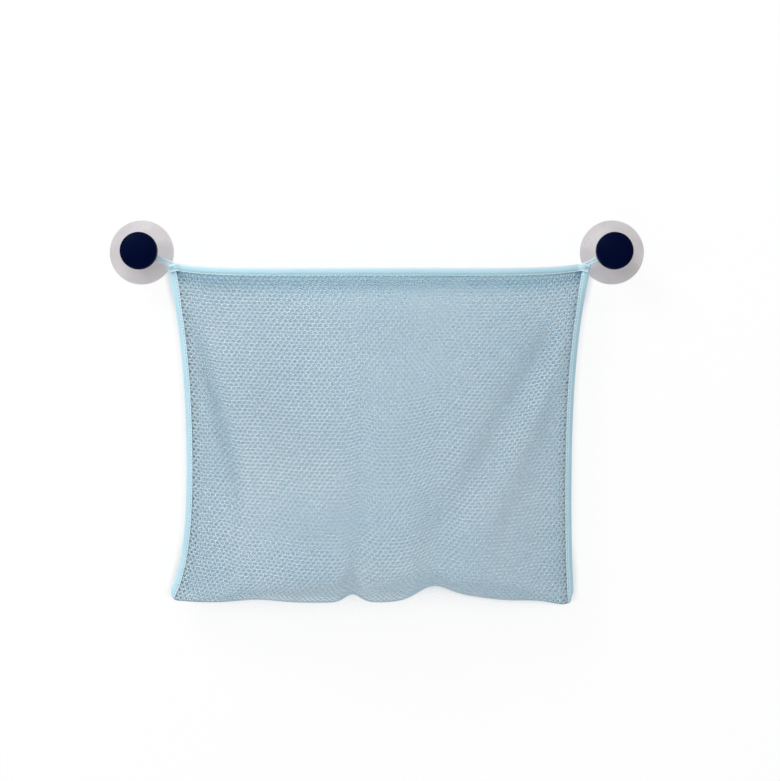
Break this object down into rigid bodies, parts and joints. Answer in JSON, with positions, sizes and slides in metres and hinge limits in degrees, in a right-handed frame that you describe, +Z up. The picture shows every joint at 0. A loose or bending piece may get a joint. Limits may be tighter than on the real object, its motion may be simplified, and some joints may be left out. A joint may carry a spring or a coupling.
{
  "type": "bath toy organizer",
  "caption": "Hanging net pouch with bound edges and tape loops, hung from suction-cup hooks with round knobs on a bathroom wall, to store and drain bath toys.",
  "frame": {"origin": "on the wall plane, midway between the centres of the two suction cups", "axes": "+X along the wall to the right as seen from the room, +Y into the wall, +Z up"},
  "size_m": [0.534, 0.079, 0.38],
  "materials": {
    "clear_vinyl": "soft milky clear vinyl, slightly glossy",
    "stud_plastic": "plain moulded plastic",
    "navy_plastic": "very dark navy moulded plastic, satin",
    "net_yarn": "pale blue-grey knitted polyester net",
    "binding_tape": "pale aqua woven binding tape",
    "sewing_thread": "twisted polyester thread, a shade darker than the tape"
  },
  "bodies": {
    "hooks": {"left_suction_cup": "clear_vinyl", "right_suction_cup": "clear_vinyl", "left_hook_stud": "stud_plastic", "right_hook_stud": "stud_plastic"},
    "left_knob": {"left_hook_knob": "navy_plastic"},
    "right_knob": {"right_hook_knob": "navy_plastic"},
    "pouch": {"net_pouch": "net_yarn", "left_side_binding": "binding_tape", "right_side_binding": "binding_tape", "front_rim_binding": "binding_tape", "back_rim_binding": "binding_tape", "left_side_stitching": "sewing_thread", "right_side_stitching": "sewing_thread", "front_rim_stitching": "sewing_thread", "back_rim_stitching": "sewing_thread", "left_hanging_loop": "binding_tape", "right_hanging_loop": "binding_tape", "left_loop_tack": "sewing_thread", "right_loop_tack": "sewing_thread"}
  },
  "joints": [
    {"name": "pouch_swing", "type": "hinge", "parent": "hooks", "child": "pouch", "pos_m": [0, -0.021, 0], "axis": [-1, 0, 0], "range_deg": [0, 70], "deforming": ["left_hanging_loop", "right_hanging_loop"]},
    {"name": "left_knob_turn", "type": "hinge", "parent": "hooks", "child": "left_knob", "pos_m": [-0.235, -0.03, 0], "axis": [0, -1, 0], "continuous": true},
    {"name": "right_knob_turn", "type": "hinge", "parent": "hooks", "child": "right_knob", "pos_m": [0.235, -0.03, 0], "axis": [0, -1, 0], "continuous": true}
  ]
}
